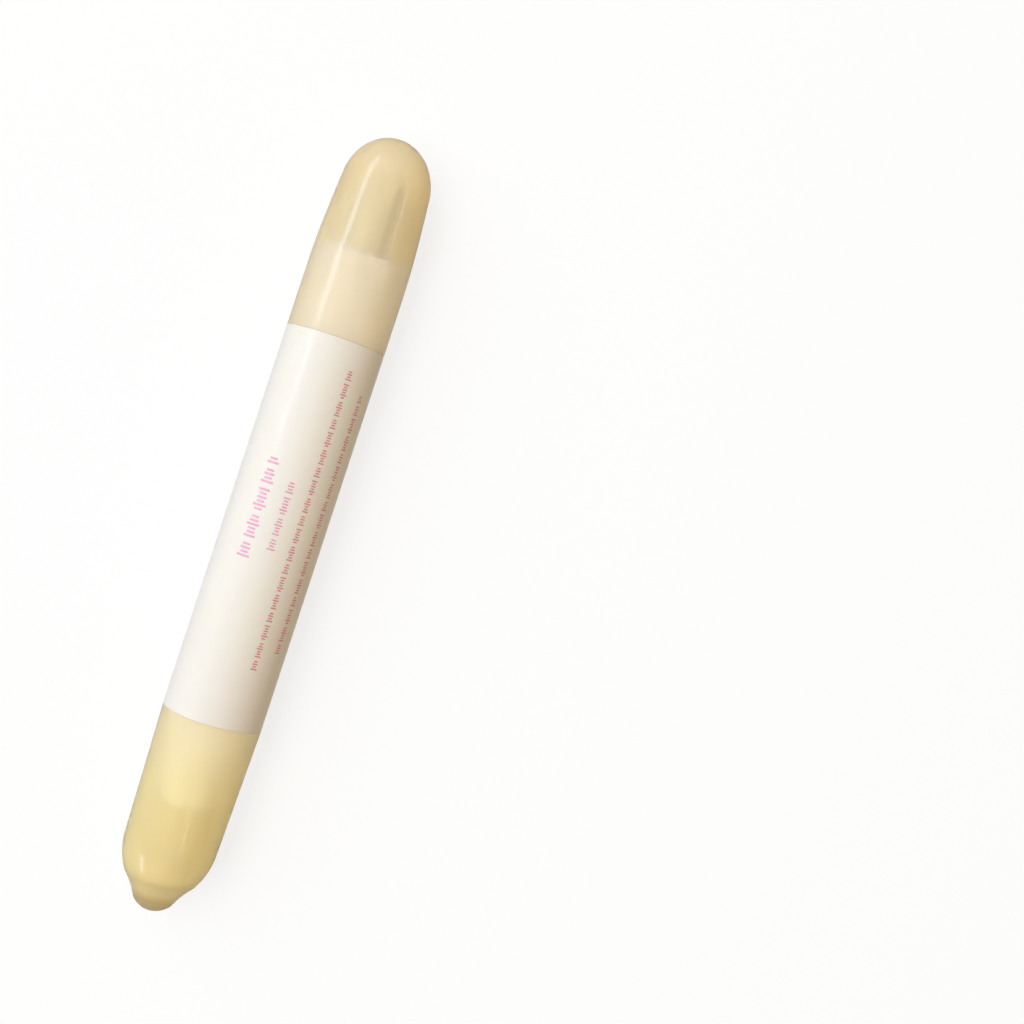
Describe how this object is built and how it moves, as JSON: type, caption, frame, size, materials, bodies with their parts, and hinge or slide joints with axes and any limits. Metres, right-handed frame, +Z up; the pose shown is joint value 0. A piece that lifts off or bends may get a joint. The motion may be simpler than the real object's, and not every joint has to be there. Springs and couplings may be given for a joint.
{
  "type": "nail polish corrector pen",
  "caption": "Slim double-ended pen with a white barrel, a slanted felt nib under a nubbed cream cap, and a holder of spare nibs under a translucent cream cap.",
  "frame": {"origin": "on the surface that the pen lies on, under the middle of the capped pen's length", "axes": "+X along the pen towards the tail cap and its spare nibs, -X towards the working nib's cap, +Z up, on the side that the working nib's slanted face looks to"},
  "size_m": [0.1276, 0.016, 0.0159],
  "materials": {
    "barrel_white": "smooth gloss white moulding with a pink print",
    "insert_white": "satin white moulding",
    "cap_cream": "glossy translucent cream",
    "nib_felt": "pressed felt",
    "core_fibre": "bonded fibre rod",
    "film_clear": "thin clear film"
  },
  "bodies": {
    "pen_body": {"barrel": "barrel_white", "nose_cone": "insert_white", "nib": "nib_felt", "reservoir_core": "core_fibre", "reservoir_film": "film_clear", "nib_holder": "insert_white", "spare_nib_1": "nib_felt", "spare_nib_2": "nib_felt", "spare_nib_3": "nib_felt"},
    "nib_cap": {"nib_cap": "cap_cream"},
    "tail_cap": {"tail_cap": "cap_cream"}
  },
  "joints": [
    {"name": "nib_cap_slide", "type": "slide", "parent": "pen_body", "child": "nib_cap", "axis": [-1, 0, 0], "range_m": [0, 0.04]},
    {"name": "tail_cap_slide", "type": "slide", "parent": "pen_body", "child": "tail_cap", "axis": [1, 0, 0], "range_m": [0, 0.04]}
  ]
}
